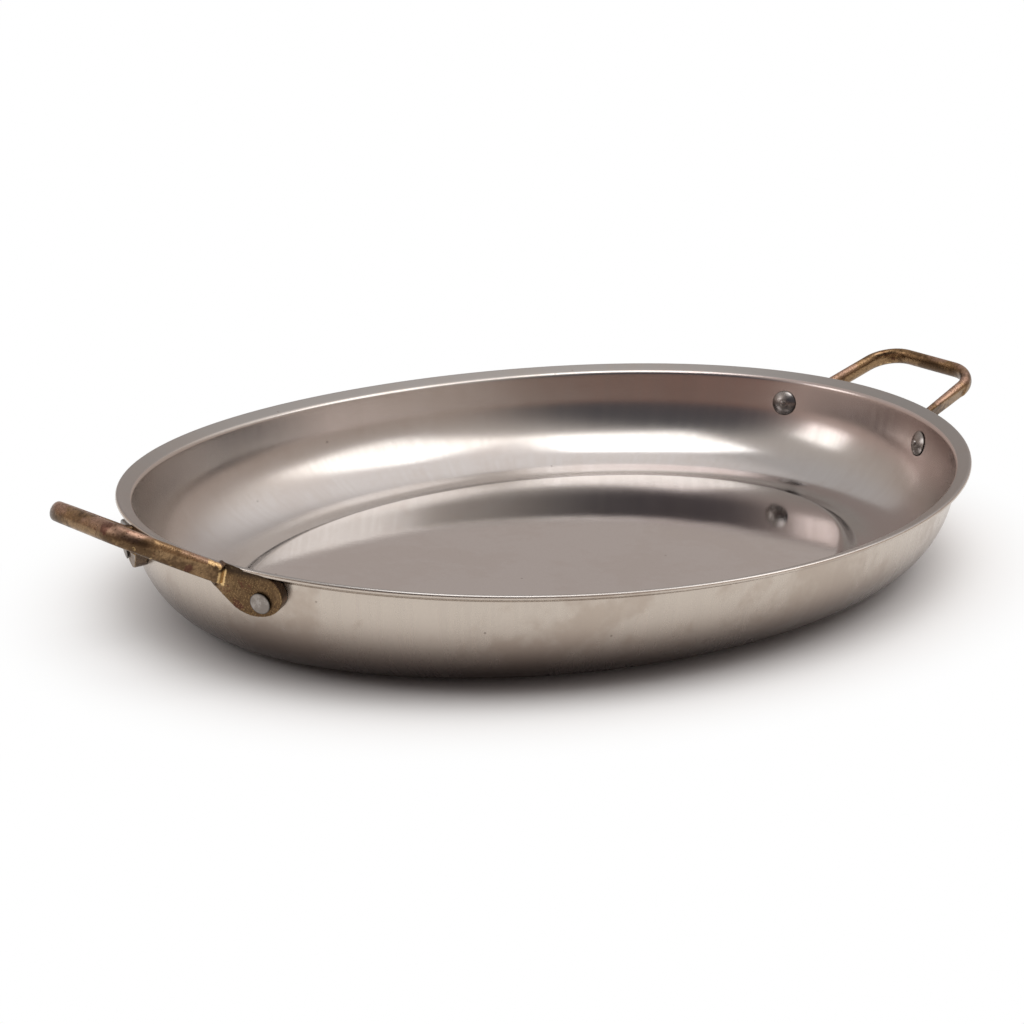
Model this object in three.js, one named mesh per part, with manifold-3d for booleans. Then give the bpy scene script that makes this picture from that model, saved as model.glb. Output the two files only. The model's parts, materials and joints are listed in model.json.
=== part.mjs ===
// Oval serving dish: a pressed steel dish with a flared lip, and two cast brass handles that are
// each riveted to its wall under the lip. Millimetres, +Z up. The origin is at the middle of the
// dish on the surface that it stands on, and the handles are at its two ends, along X.

import * as THREE from 'three';
import { mergeVertices } from 'three/addons/utils/BufferGeometryUtils.js';
import Module from 'manifold-3d';

const wasm = await Module();
wasm.setup();

// Plan of the dish: the rim is an ellipse, and every line below it runs parallel to it
const dishLength = 350;
const dishWidth = 260;
const rimHeight = 40;      // mean height of the rim
const rimSweep = 2;        // the rim's ends rise by this much and its sides drop by as much
const sheet = 1.8;         // thickness of the steel

// Section of the dish, with insets measured inward from the rim
const lipWidth = 6;
const lipFall = 2.7;       // the lip slopes down inward by this much
const bendRadius = 2.4;    // between the lip and the wall, on the upper side
const wallLean = 10;       // degrees from upright
const footHeight = 31;     // height of the round foot of the wall
const ringInset = 36.5;    // where the flat ring that the dish stands on begins
const ringWidth = 3;
const riseWidth = 8;       // the slope from the ring up to the floor
const floorRise = 3.4;     // the floor is this much above the ring

// Rivets
const rivetSpacing = 74;   // between the two rivets of one handle
const shankDiameter = 5;
const innerHeadDiameter = 10;
const innerHeadHeight = 1.7;
const nibDiameter = 2.4;
const nibHeight = 0.5;
const outerHeadDiameter = 7.3;
const outerHeadEdge = 0.5;
const outerHeadCrown = 0.5;

// Handle rod: a U whose legs start beside the rivets
const rodWidth = 4.6;      // across the rod in the plane of the U
const rodHeight = 6.7;     // across the rod, square to that plane
const footInward = 8.5;    // from the rivet to the leg's foot, towards the middle of the handle
const footRise = 2;        // the feet lie on the wall's line, this much above the rivets
const legLength = 50;      // from the line of the feet to the grip
const gripWidth = 47.6;    // between the legs, where they meet the grip's line
const cornerRadius = 12.8;

// Handle pads, in the plane of the wall, from the rivet: back is towards the handle's middle
const padThickness = 3.5;
const padBevel = 0.6;
const padHalfLength = 10.7;
const padHalfHeight = 8.2;
const padCentreBack = 3;
const padCentreRise = 2.5;
const neckBottomBack = 17;
const neckBottomRise = 3.3;
const neckTopBack = 14.5;
const neckTopRise = 11.5;
const neckReach = 15;      // along the leg from its foot: the neck runs up into the rod here
const stepBack = 13.3;     // the rod and the neck are cut off in front of the pad here
const stepRise = 6.7;
const stepLean = 16;       // degrees that the step leans over
const stepHeight = 2.3;    // from the pad's face up to the flat flank of the leg
const flankFlare = 3;      // degrees by which the flank leaves the line of the leg

// The two handles are one casting, bent up by different angles. Skew is how much higher the rivet
// at the front of the dish sits than the one at the back.
const handles = {
  left: { mountHeight: 29, skew: 2.3, tilt: 27.2 },
  right: { mountHeight: 28.4, skew: 0, tilt: 18.9 }
};

// Clearances
const seatGap = 0.3;
const shankGap = 0.3;

// Fineness of the faceted surfaces
const ovalSteps = 76;
const footSteps = 8;
const bendSteps = 3;
const riseSteps = 4;
const rodSteps = 46;
const rodSides = 16;
const padSteps = 20;
const rivetSides = 16;
const headSteps = 3;

const radians = THREE.MathUtils.degToRad;
const halfLength = dishLength / 2;
const halfWidth = dishWidth / 2;
const floorHeight = sheet + floorRise;

const colours = { steel: 0xbab0a6, brass: 0x7c6238, rivet: 0x9c9b98 };

function steel() {
  return new THREE.MeshStandardMaterial({ color: colours.steel, roughness: 0.38, metalness: 1 });
}

function brass() {
  return new THREE.MeshStandardMaterial({ color: colours.brass, roughness: 0.5, metalness: 1 });
}

function rivetMetal() {
  return new THREE.MeshStandardMaterial({ color: colours.rivet, roughness: 0.32, metalness: 1 });
}

// A closed geometry as a solid that can be joined and cut
function solid(geometry) {
  const bare = geometry.clone();
  bare.deleteAttribute('normal');
  bare.deleteAttribute('uv');
  const merged = mergeVertices(bare, 1e-5);
  const mesh = new wasm.Mesh({
    numProp: 3,
    vertProperties: new Float32Array(merged.attributes.position.array),
    triVerts: new Uint32Array(merged.index.array)
  });
  return new wasm.Manifold(mesh);
}

// The solid's surface as a geometry for display
function surface(body) {
  const mesh = body.getMesh();
  const geometry = new THREE.BufferGeometry();
  geometry.setAttribute('position', new THREE.BufferAttribute(mesh.vertProperties, 3));
  geometry.setIndex(new THREE.BufferAttribute(mesh.triVerts, 1));
  geometry.computeVertexNormals();
  return geometry;
}

// The unit normal of the ellipse, pointing outward
function outward(angle) {
  const normal = new THREE.Vector3(halfWidth * Math.cos(angle), halfLength * Math.sin(angle), 0);
  return normal.normalize();
}

// A point on the dish: so far in from the rim, and so high on the mean section. The sweep of the
// rim dies away downward and is gone at the floor.
function ovalPoint(angle, inset, height) {
  const share = Math.max(0, (height - floorHeight) / (rimHeight - floorHeight));
  const lift = rimSweep * Math.cos(2 * angle) * share;
  const rim = new THREE.Vector3(halfLength * Math.cos(angle), halfWidth * Math.sin(angle), height + lift);
  return rim.addScaledVector(outward(angle), -inset);
}

// A place on the upper side of the section, with the direction that the metal faces there
function station(inset, height, normalInset, normalHeight) {
  const normal = new THREE.Vector2(normalInset, normalHeight).normalize();
  return { point: new THREE.Vector2(inset, height), normal };
}

// The lip's slope, and the middle of its round edge
const lipSlope = Math.atan(lipFall / lipWidth);
const lipNormal = new THREE.Vector2(Math.sin(lipSlope), Math.cos(lipSlope));
const edgeRadius = sheet / 2;
const edgeCentre = new THREE.Vector2(edgeRadius, rimHeight - edgeRadius);

const leanAngle = radians(wallLean);
const wallNormal = new THREE.Vector2(Math.cos(leanAngle), Math.sin(leanAngle));
const wallTop = new THREE.Vector2(lipWidth, rimHeight - lipFall);

// Inset of the wall's outer side at a height
function outerInset(height) {
  return wallTop.x + (wallTop.y - height) * Math.tan(leanAngle) - sheet / Math.cos(leanAngle);
}

// Where the lip's upper side and the wall's inner side would meet without the bend
function bendCorner() {
  const lipPoint = edgeCentre.clone().addScaledVector(lipNormal, edgeRadius);
  const lipLine = lipNormal.dot(lipPoint);
  const wallLine = wallNormal.dot(wallTop);
  const cross = lipNormal.x * wallNormal.y - lipNormal.y * wallNormal.x;
  const inset = (lipLine * wallNormal.y - lipNormal.y * wallLine) / cross;
  const height = (lipNormal.x * wallLine - lipLine * wallNormal.x) / cross;
  return new THREE.Vector2(inset, height);
}

function bendStations() {
  const reach = bendRadius / (1 + lipNormal.dot(wallNormal));
  const centre = bendCorner().addScaledVector(lipNormal, -reach).addScaledVector(wallNormal, -reach);
  const stations = [];
  for (let i = 0; i <= bendSteps; i++) {
    const turn = THREE.MathUtils.lerp(lipSlope, Math.PI / 2 - leanAngle, i / bendSteps);
    const direction = new THREE.Vector2(Math.sin(turn), Math.cos(turn));
    const point = centre.clone().addScaledVector(direction, bendRadius);
    stations.push({ point, normal: direction });
  }
  return stations;
}

// The wall's foot is a quarter of an ellipse that starts at the wall's lean and ends level
function footStations() {
  const centreHeight = sheet + footHeight;
  const slope = Math.tan(leanAngle);
  const across = ringInset - wallTop.x - (wallTop.y - centreHeight) * slope;
  const footLength = Math.sqrt(across ** 2 - (footHeight * slope) ** 2);
  const start = Math.atan(footHeight * slope / footLength);
  const stations = [];
  for (let i = 0; i <= footSteps; i++) {
    const turn = THREE.MathUtils.lerp(start, Math.PI / 2, i / footSteps);
    const inset = ringInset - footLength * Math.cos(turn);
    const height = centreHeight - footHeight * Math.sin(turn);
    stations.push(station(inset, height, footHeight * Math.cos(turn), footLength * Math.sin(turn)));
  }
  return stations;
}

// From the ring the sheet rises in an S to the flat floor
function riseStations() {
  const stations = [];
  for (let i = 0; i <= riseSteps; i++) {
    const turn = Math.PI * i / riseSteps;
    const inset = ringInset + ringWidth + riseWidth * i / riseSteps;
    const height = sheet + floorRise * (1 - Math.cos(turn)) / 2;
    const slope = floorRise * Math.PI / riseWidth * Math.sin(turn) / 2;
    stations.push(station(inset, height, -slope, 1));
  }
  return stations;
}

// The whole upper side of the sheet, from the lip's edge to the edge of the flat floor
function upperStations() {
  const lipStart = edgeCentre.clone().addScaledVector(lipNormal, edgeRadius);
  const lip = { point: lipStart, normal: lipNormal };
  return [lip, ...bendStations(), ...footStations(), ...riseStations()];
}

function below(stations, depth) {
  return stations.map((place) => place.point.clone().addScaledVector(place.normal, -depth));
}

// Points round the lip's edge, from its lower side to its upper side
function edgePoints(radius) {
  const points = [];
  const steps = 4;
  for (let i = 1; i < steps; i++) {
    const turn = lipSlope + Math.PI * (1 + i / steps);
    const direction = new THREE.Vector2(Math.sin(turn), Math.cos(turn));
    points.push(edgeCentre.clone().addScaledVector(direction, radius));
  }
  return points;
}

// A closed body swept round the oval: the rows of its section run from the middle of the
// underside out to the rim and back in to the middle of the top
function ovalSolid(section) {
  const positions = [];
  const faces = [];
  for (const row of section) {
    for (let j = 0; j < ovalSteps; j++) {
      positions.push(...ovalPoint(2 * Math.PI * j / ovalSteps, row.x, row.y).toArray());
    }
  }
  const last = section.length - 1;
  const bottom = section.length * ovalSteps;
  const top = bottom + 1;
  positions.push(0, 0, section[0].y, 0, 0, section[last].y);
  for (let j = 0; j < ovalSteps; j++) {
    const next = (j + 1) % ovalSteps;
    faces.push(bottom, next, j);
    faces.push(top, last * ovalSteps + j, last * ovalSteps + next);
    for (let i = 0; i < last; i++) {
      const low = i * ovalSteps;
      const high = low + ovalSteps;
      faces.push(low + j, low + next, high + next, low + j, high + next, high + j);
    }
  }
  const geometry = new THREE.BufferGeometry();
  geometry.setAttribute('position', new THREE.Float32BufferAttribute(positions, 3));
  geometry.setIndex(faces);
  return solid(geometry);
}

function sheetSolid() {
  const stations = upperStations();
  const underside = below(stations, sheet).reverse();
  const upper = stations.map((place) => place.point);
  return ovalSolid([...underside, ...edgePoints(edgeRadius), ...upper]);
}

// The dish as a filled body, larger all round by a gap and drawn up above the rim: what a handle
// must keep clear of
function filledSolid(gap) {
  const underside = below(upperStations(), sheet + gap).reverse();
  const widest = new THREE.Vector2(-gap, edgeCentre.y);
  const above = new THREE.Vector2(-gap, rimHeight + 3 * rodHeight);
  return ovalSolid([...underside, widest, above]);
}

// The place of a rivet on the wall's outer side at the dish's right end. Side is -1 for the front
// rivet and 1 for the back one. X of the frame runs level along the wall, Y up it and Z out of it.
function rivetFrame(height, side) {
  const inset = outerInset(height);
  let angle = 0;
  const rounds = 12;
  for (let i = 0; i < rounds; i++) {
    const narrowing = inset * outward(angle).y;
    angle = Math.asin((rivetSpacing / 2 + narrowing) / halfWidth);
  }
  angle *= side;
  const origin = ovalPoint(angle, inset, height);
  const level = outward(angle);
  const normal = level.clone().multiplyScalar(Math.cos(leanAngle)).setZ(-Math.sin(leanAngle));
  const along = new THREE.Vector3(-level.y, level.x, 0);
  const up = normal.clone().cross(along);
  const matrix = new THREE.Matrix4().makeBasis(along, up, normal).setPosition(origin);
  return { matrix, origin, angle, side };
}

// How far the wall's inner side curves away from a flat head of this radius
function hollow(angle, radius) {
  const spread = Math.hypot(halfLength * Math.sin(angle), halfWidth * Math.cos(angle));
  const wallRadius = spread ** 3 / (halfLength * halfWidth);
  return radius ** 2 / (2 * wallRadius);
}

function rivetHole(frame) {
  const depth = 4 * (sheet + padThickness);
  const hole = new THREE.CylinderGeometry(
    shankDiameter / 2 + shankGap, shankDiameter / 2 + shankGap, depth, rivetSides);
  hole.rotateX(Math.PI / 2);
  hole.applyMatrix4(frame.matrix);
  return solid(hole);
}

// Points of a low crown, from its edge up to the axis, as a stretch of a circle
function crown(radius, height, base, direction) {
  const ball = (radius ** 2 + height ** 2) / (2 * height);
  const spread = Math.asin(radius / ball);
  const points = [];
  for (let i = 0; i <= headSteps; i++) {
    const turn = spread * (1 - i / headSteps);
    const rise = ball * Math.cos(turn) - (ball - height);
    points.push(new THREE.Vector2(ball * Math.sin(turn), base + direction * rise));
  }
  return points;
}

// One rivet: a domed head with a small nib inside the dish, a shank and a flatter head on the pad
function rivetGeometry(frame) {
  const innerRadius = innerHeadDiameter / 2;
  const innerBase = -sheet - seatGap - hollow(frame.angle, innerRadius);
  const outerBase = seatGap + padThickness + seatGap;
  const dome = crown(innerRadius, innerHeadHeight, innerBase, -1).reverse();
  const ball = (innerRadius ** 2 + innerHeadHeight ** 2) / (2 * innerHeadHeight);
  const nibRadius = nibDiameter / 2;
  const nibFoot = innerBase + (ball - innerHeadHeight) - Math.sqrt(ball ** 2 - nibRadius ** 2);
  const nibTop = innerBase - innerHeadHeight - nibHeight;
  const nib = [
    new THREE.Vector2(0, nibTop),
    new THREE.Vector2(nibRadius * 0.7, nibTop),
    new THREE.Vector2(nibRadius, nibFoot)
  ];
  const shank = [
    new THREE.Vector2(shankDiameter / 2, innerBase),
    new THREE.Vector2(shankDiameter / 2, outerBase)
  ];
  const outerRadius = outerHeadDiameter / 2;
  const flat = [new THREE.Vector2(outerRadius, outerBase)];
  const outer = crown(outerRadius, outerHeadCrown, outerBase + outerHeadEdge, 1);
  const profile = [...nib, ...dome.filter((point) => point.x > nibRadius), ...shank, ...flat, ...outer];
  const geometry = new THREE.LatheGeometry(profile, rivetSides);
  geometry.rotateX(Math.PI / 2);
  geometry.applyMatrix4(frame.matrix);
  return surface(solid(geometry));
}

// How far each leg's foot is from the handle's middle, and the angle by which the legs close in
const footHalf = rivetSpacing / 2 - footInward;
const legSplay = Math.atan((footHalf - gripWidth / 2) / legLength);

// The middle line of the U in its own plane: X runs out from the feet and Y across
class RodLine extends THREE.Curve {
  constructor() {
    super();
    const centreX = legLength - cornerRadius;
    const centreY = gripWidth / 2 - cornerRadius * (1 - Math.sin(legSplay)) / Math.cos(legSplay);
    const turn = Math.PI / 2 - legSplay;
    const line = new THREE.Path();
    line.moveTo(0, -footHalf);
    line.lineTo(centreX + cornerRadius * Math.cos(turn), -centreY - cornerRadius * Math.sin(turn));
    line.absarc(centreX, -centreY, cornerRadius, -turn, 0, false);
    line.absarc(centreX, centreY, cornerRadius, 0, turn, false);
    line.lineTo(0, footHalf);
    this.line = line;
  }

  getPoint(share, target = new THREE.Vector3()) {
    const point = this.line.getPoint(share);
    return target.set(point.x, point.y, 0);
  }
}

// The place of a handle's U: its origin is midway between the legs' feet, X runs out in the plane
// of the U and Y across it
function rodPlace(handle, frames) {
  const middle = frames[0].origin.clone().add(frames[1].origin).divideScalar(2);
  const place = new THREE.Matrix4().makeTranslation(middle.x, 0, middle.z + footRise);
  place.multiply(new THREE.Matrix4().makeRotationX(Math.atan2(handle.skew, rivetSpacing)));
  return place.multiply(new THREE.Matrix4().makeRotationY(-radians(handle.tilt)));
}

function rodSolid(place) {
  const section = new THREE.Shape();
  section.absellipse(0, 0, rodHeight / 2, rodWidth / 2, 0, 2 * Math.PI);
  const rod = new THREE.ExtrudeGeometry(section, {
    steps: rodSteps, curveSegments: rodSides / 2, extrudePath: new RodLine()
  });
  rod.applyMatrix4(place);
  return solid(rod);
}

// The neck draws the end of the pad's plate together with a thin slice of the leg
function neckSolid(frame, place) {
  const sliceThickness = 0.1;
  const slice = new THREE.CylinderGeometry(1, 1, sliceThickness, rodSides);
  slice.scale(rodWidth / 2, 1, rodHeight / 2);
  slice.translate(0, neckReach, 0);
  slice.rotateZ(-Math.PI / 2 - frame.side * legSplay);
  slice.translate(0, frame.side * footHalf, 0);
  slice.applyMatrix4(place);
  const corners = [];
  for (const out of [-sheet, seatGap + padThickness]) {
    for (const [back, rise] of [[neckBottomBack, neckBottomRise], [neckTopBack, neckTopRise]]) {
      const corner = new THREE.Vector3(-frame.side * back, rise, out).applyMatrix4(frame.matrix);
      corners.push(corner.toArray());
    }
  }
  return wasm.Manifold.hull([solid(slice), ...corners]);
}

// Where a line from a point touches the pad's ellipse, as an angle on the ellipse
function touchAngle(back, rise, way) {
  const x = (padCentreBack - back) / padHalfLength;
  const y = (rise - padCentreRise) / padHalfHeight;
  return Math.atan2(y, x) + way * Math.acos(1 / Math.hypot(x, y));
}

// The pad's outline: an ellipse round the rivet, drawn out to the neck under the rod
function padShape(side) {
  const from = touchAngle(neckBottomBack, neckBottomRise, 1);
  const to = touchAngle(neckTopBack, neckTopRise, -1) + 2 * Math.PI;
  const round = new THREE.EllipseCurve(
    -padCentreBack, padCentreRise, padHalfLength, padHalfHeight, from, to);
  const outline = [
    new THREE.Vector2(-neckBottomBack, neckBottomRise),
    ...round.getPoints(padSteps),
    new THREE.Vector2(-neckTopBack, neckTopRise)
  ];
  return new THREE.Shape(outline.map((point) => new THREE.Vector2(point.x * side, point.y)));
}

// The pad starts inside the wall, so that the wall can cut its seat
function padSolid(frame) {
  const intoWall = 3;
  const pad = new THREE.ExtrudeGeometry(padShape(frame.side), {
    depth: intoWall + seatGap + padThickness - padBevel,
    bevelThickness: padBevel, bevelSize: padBevel, bevelOffset: -padBevel, bevelSegments: 2
  });
  pad.translate(0, 0, -intoWall);
  pad.applyMatrix4(frame.matrix);
  return solid(pad);
}

// What is cut away so that the pad's face lies clear, back to the step at the end of the rod
function stepCut(frame) {
  const size = 2 * (padHalfLength + padHalfHeight);
  const block = new THREE.BoxGeometry(size, size, size);
  block.translate(frame.side * size / 2, 0, size / 2);
  block.rotateZ(-frame.side * radians(stepLean));
  block.translate(-frame.side * stepBack, stepRise, seatGap + padThickness);
  block.applyMatrix4(frame.matrix);
  return solid(block);
}

// What is cut away so that each leg has a flat flank above its step
function flankCut(frame, place) {
  const lean = radians(stepLean);
  const leg = new THREE.Vector3(Math.cos(legSplay), -frame.side * Math.sin(legSplay), 0);
  leg.transformDirection(place);
  const edge = new THREE.Vector3(frame.side * Math.sin(lean), Math.cos(lean), 0);
  edge.transformDirection(frame.matrix);
  const face = leg.clone().cross(edge).multiplyScalar(-frame.side).normalize();
  const stepTop = new THREE.Vector3(
    -frame.side * stepBack, stepRise, seatGap + padThickness + stepHeight).applyMatrix4(frame.matrix);
  const basis = new THREE.Matrix4().makeBasis(edge, face.clone().cross(edge), face);
  const block = new THREE.BoxGeometry(legLength, legLength, legLength);
  block.translate(0, 0, legLength / 2);
  block.rotateX(frame.side * radians(flankFlare));
  block.applyMatrix4(basis.setPosition(stepTop));
  return solid(block);
}

// The rod with its necks, cut off at the steps, and then the pads in front of them
function handleGeometry(handle, frames, keepClear) {
  const place = rodPlace(handle, frames);
  let body = rodSolid(place);
  for (const frame of frames) {
    body = body.add(neckSolid(frame, place)).subtract(stepCut(frame)).subtract(flankCut(frame, place));
  }
  for (const frame of frames) {
    body = body.add(padSolid(frame));
  }
  body = body.subtract(keepClear);
  for (const frame of frames) {
    body = body.subtract(rivetHole(frame));
  }
  return surface(body);
}

function namedMesh(name, geometry, material) {
  const mesh = new THREE.Mesh(geometry, material);
  mesh.name = name;
  return mesh;
}

// One end of the dish, built at the right end, with its handle and two rivets
function handleEnd(name, handle, frames, keepClear) {
  const end = new THREE.Group();
  end.add(namedMesh(`handle_${name}`, handleGeometry(handle, frames, keepClear), brass()));
  return end;
}

// The frames of a handle's rivets at the right end. The left end is turned half round later, so
// its front rivet is the one at side 1 here.
function framesOf(handle) {
  return [-1, 1].map((side) => rivetFrame(handle.mountHeight + side * handle.skew / 2, side));
}

const rightFrames = framesOf(handles.right);
const leftFrames = framesOf(handles.left);
const keepClear = filledSolid(seatGap);

const rightEnd = handleEnd('right', handles.right, rightFrames, keepClear);
rightEnd.add(namedMesh('rivet_right_front', rivetGeometry(rightFrames[0]), rivetMetal()));
rightEnd.add(namedMesh('rivet_right_back', rivetGeometry(rightFrames[1]), rivetMetal()));

// The left end is turned half round, which puts the rivet of its first frame at the back
const leftEnd = handleEnd('left', handles.left, leftFrames, keepClear);
leftEnd.add(namedMesh('rivet_left_back', rivetGeometry(leftFrames[0]), rivetMetal()));
leftEnd.add(namedMesh('rivet_left_front', rivetGeometry(leftFrames[1]), rivetMetal()));
leftEnd.rotation.z = Math.PI;

// The dish with its rivet holes
function dishGeometry() {
  const halfTurn = new THREE.Matrix4().makeRotationZ(Math.PI);
  let body = sheetSolid();
  for (const frame of rightFrames) {
    body = body.subtract(rivetHole(frame));
  }
  for (const frame of leftFrames) {
    const turned = { matrix: frame.matrix.clone().premultiply(halfTurn) };
    body = body.subtract(rivetHole(turned));
  }
  return surface(body);
}

const dish = new THREE.Group();
dish.add(namedMesh('dish_body', dishGeometry(), steel()));
dish.add(leftEnd, rightEnd);

export default dish;
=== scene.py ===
# Oval serving dish in brushed steel, with two cast brass handles riveted to its wall.
# Metres, +Z up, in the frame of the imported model: the dish stands on the origin and its
# handles are at its two ends, along X.

import json
import math

import bpy
from mathutils import Matrix, Vector

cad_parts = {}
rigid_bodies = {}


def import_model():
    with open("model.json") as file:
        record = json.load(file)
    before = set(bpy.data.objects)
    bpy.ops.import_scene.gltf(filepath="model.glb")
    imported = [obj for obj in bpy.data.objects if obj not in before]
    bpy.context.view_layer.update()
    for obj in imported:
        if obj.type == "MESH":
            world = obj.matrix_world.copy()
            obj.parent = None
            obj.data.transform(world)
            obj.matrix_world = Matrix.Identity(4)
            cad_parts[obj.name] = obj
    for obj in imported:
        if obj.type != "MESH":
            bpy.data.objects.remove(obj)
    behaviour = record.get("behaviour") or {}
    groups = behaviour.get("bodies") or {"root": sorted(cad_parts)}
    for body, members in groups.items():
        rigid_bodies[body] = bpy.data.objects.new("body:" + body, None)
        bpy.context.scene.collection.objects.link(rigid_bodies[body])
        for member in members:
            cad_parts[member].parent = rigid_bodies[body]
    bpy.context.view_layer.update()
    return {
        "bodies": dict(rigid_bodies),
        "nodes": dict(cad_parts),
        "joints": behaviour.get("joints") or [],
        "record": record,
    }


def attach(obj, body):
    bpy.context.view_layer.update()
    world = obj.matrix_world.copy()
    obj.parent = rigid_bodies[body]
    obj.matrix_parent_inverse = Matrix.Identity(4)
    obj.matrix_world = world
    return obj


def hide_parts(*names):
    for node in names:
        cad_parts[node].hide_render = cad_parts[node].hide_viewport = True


# Plan and section of the dish, with insets measured inward from the rim
dish_length = 0.350
dish_width = 0.260
rim_height = 0.040
rim_sweep = 0.002          # the rim's ends rise and its sides drop by this much
sheet = 0.0018
lip_width = 0.006
lip_fall = 0.0027
bend_radius = 0.0024
wall_lean = 10             # degrees from upright
foot_height = 0.031
ring_inset = 0.0365
ring_width = 0.003
rise_width = 0.008
floor_rise = 0.0034

# Rivets
rivet_spacing = 0.074
shank_diameter = 0.005
inner_head_diameter = 0.010
inner_head_height = 0.0017
nib_diameter = 0.0024
nib_height = 0.0005
outer_head_diameter = 0.0073
outer_head_edge = 0.0005
outer_head_crown = 0.0005
outer_head_rounding = 0.00025
head_hollow = 0.0001       # how far the wall curves away from the inner head's flat base

# Handle rod: a U whose legs start beside the rivets
rod_width = 0.0046         # across the rod in the plane of the U
rod_height = 0.0067        # across the rod, square to that plane
foot_inward = 0.0085       # from the rivet to the leg's foot, towards the middle of the handle
foot_rise = 0.002
leg_length = 0.050
grip_width = 0.0476
corner_radius = 0.0128

# Handle pads, in the plane of the wall, from the rivet: back is towards the handle's middle
pad_thickness = 0.0035
pad_bevel = 0.0006
pad_half_length = 0.0107
pad_half_height = 0.0082
pad_centre_back = 0.003
pad_centre_rise = 0.0025
neck_bottom = (0.017, 0.0033)
neck_top = (0.0145, 0.0115)
neck_corner_radius = 0.0005
neck_reach = 0.015         # along the leg from its foot
step_back = 0.0133
step_rise = 0.0067
step_lean = 16             # degrees
step_height = 0.0023
flank_flare = 3            # degrees

# Where each handle is mounted, how much higher its front rivet sits than its back one, and how many
# degrees its U is bent up by
left_handle = {"height": 0.029, "skew": 0.0023, "tilt": 27.2}
right_handle = {"height": 0.0284, "skew": 0, "tilt": 18.9}

# Marks on the brass of the left handle, each with its place and radius: old dark spots, and
# places at the top of the step that are rubbed bare and brightened in gold as a painted highlight
dark_spots = [
    ((-0.2075, -0.0128, 0.0573), 0.0025),
    ((-0.1855, -0.0267, 0.0425), 0.0018),
    ((-0.1684, -0.0303, 0.0286), 0.0024),
]
bare_and_highlight_spots = [
    ((-0.1778, -0.0279, 0.0440), 0.0014),
    ((-0.1764, -0.0281, 0.0434), 0.0015),
    ((-0.1750, -0.0282, 0.0427), 0.0016),
]

# Where the steel's finish and its painted light change: gradually from one height above the table to
# another, and for the painted pinkish reflection at the right end also from one place along X to another
polished_floor_heights = (0.006, 0.014)
# the foot's darkening is painted shade, standing in for the reflection of the shadowed floor
painted_foot_shade_heights = (0.003, 0.034)
# the lip's darker colour is painted shade; its higher roughness is its dull finish
dull_and_shaded_lip_heights = (0.0325, 0.0345)
painted_pink_reflection_heights = (0.016, 0.026)
painted_pink_reflection_reach = (0.08, 0.15)

# Gaps between a handle and the wall, and between a rivet's shank and its hole
seat_gap = 0.0003
shank_gap = 0.0003

# Fineness
oval_sides = 256
rod_sides = 32
pad_sides = 96
neck_corner_sides = 24
rivet_sides = 64
rod_corner_steps = 16
smooth_angle = 35          # degrees between faces up to which they are shaded as one
slice_thickness = 0.0001   # of the discs that the rod and its necks start from
cast_grain = 0.0003        # size of the cells that the casting is remeshed to

half_length = dish_length / 2
half_width = dish_width / 2
floor_height = sheet + floor_rise
lean_angle = math.radians(wall_lean)
wall_top = Vector((lip_width, rim_height - lip_fall))
pad_depth = sheet + seat_gap + pad_thickness
pad_front = seat_gap + pad_thickness   # how far the pad's face stands out from the wall


# Small helps for shader nodes. All but the first return what to link on from.

def feed(tree, socket, source):
    if isinstance(source, bpy.types.NodeSocket):
        tree.links.new(source, socket)
    elif isinstance(source, tuple) and len(source) == 3 and socket.type == "RGBA":
        socket.default_value = (*source, 1)
    else:
        socket.default_value = source


def calculate(tree, operation, first, second=0):
    node = tree.nodes.new("ShaderNodeMath")
    node.operation = operation
    feed(tree, node.inputs[0], first)
    feed(tree, node.inputs[1], second)
    return node.outputs["Value"]


def multiply(tree, first, second):
    return calculate(tree, "MULTIPLY", first, second)


def add_share(tree, number, mask, share):
    return calculate(tree, "ADD", number, multiply(tree, mask, share))


def vector_outputs(tree, operation, first, second):
    node = tree.nodes.new("ShaderNodeVectorMath")
    node.operation = operation
    feed(tree, node.inputs[0], first)
    feed(tree, node.inputs[1], second)
    return node.outputs


def calculate_vector(tree, operation, first, second=(0, 0, 0)):
    return vector_outputs(tree, operation, first, second)["Vector"]


# A number taken from vectors, such as a length, or how far two directions agree
def measure(tree, operation, first, second=(0, 0, 0)):
    return vector_outputs(tree, operation, first, second)["Value"]


def split(tree, vector):
    node = tree.nodes.new("ShaderNodeSeparateXYZ")
    feed(tree, node.inputs["Vector"], vector)
    return [node.outputs[axis] for axis in "XYZ"]


def combine(tree, x=0, y=0, z=0):
    node = tree.nodes.new("ShaderNodeCombineXYZ")
    feed(tree, node.inputs["X"], x)
    feed(tree, node.inputs["Y"], y)
    feed(tree, node.inputs["Z"], z)
    return node.outputs["Vector"]


# Goes smoothly from one value to another as the source goes from low to high
def spread(tree, source, low, high, value_low=0, value_high=1):
    node = tree.nodes.new("ShaderNodeMapRange")
    node.interpolation_type = "SMOOTHSTEP"
    feed(tree, node.inputs["Value"], source)
    feed(tree, node.inputs["From Min"], low)
    feed(tree, node.inputs["From Max"], high)
    feed(tree, node.inputs["To Min"], value_low)
    feed(tree, node.inputs["To Max"], value_high)
    return node.outputs["Result"]


def blend(tree, share, first, second):
    node = tree.nodes.new("ShaderNodeMix")
    node.data_type = "RGBA"
    feed(tree, node.inputs["Factor"], share)
    feed(tree, node.inputs[6], first)
    feed(tree, node.inputs[7], second)
    return node.outputs[2]


def blend_numbers(tree, share, first, second):
    node = tree.nodes.new("ShaderNodeMix")
    feed(tree, node.inputs["Factor"], share)
    feed(tree, node.inputs[2], first)
    feed(tree, node.inputs[3], second)
    return node.outputs[0]


# Lays another colour over this one where the mask is, as strongly as the share says
def lay_over(tree, colour, mask, share, other):
    return blend(tree, multiply(tree, mask, share), colour, other)


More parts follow.
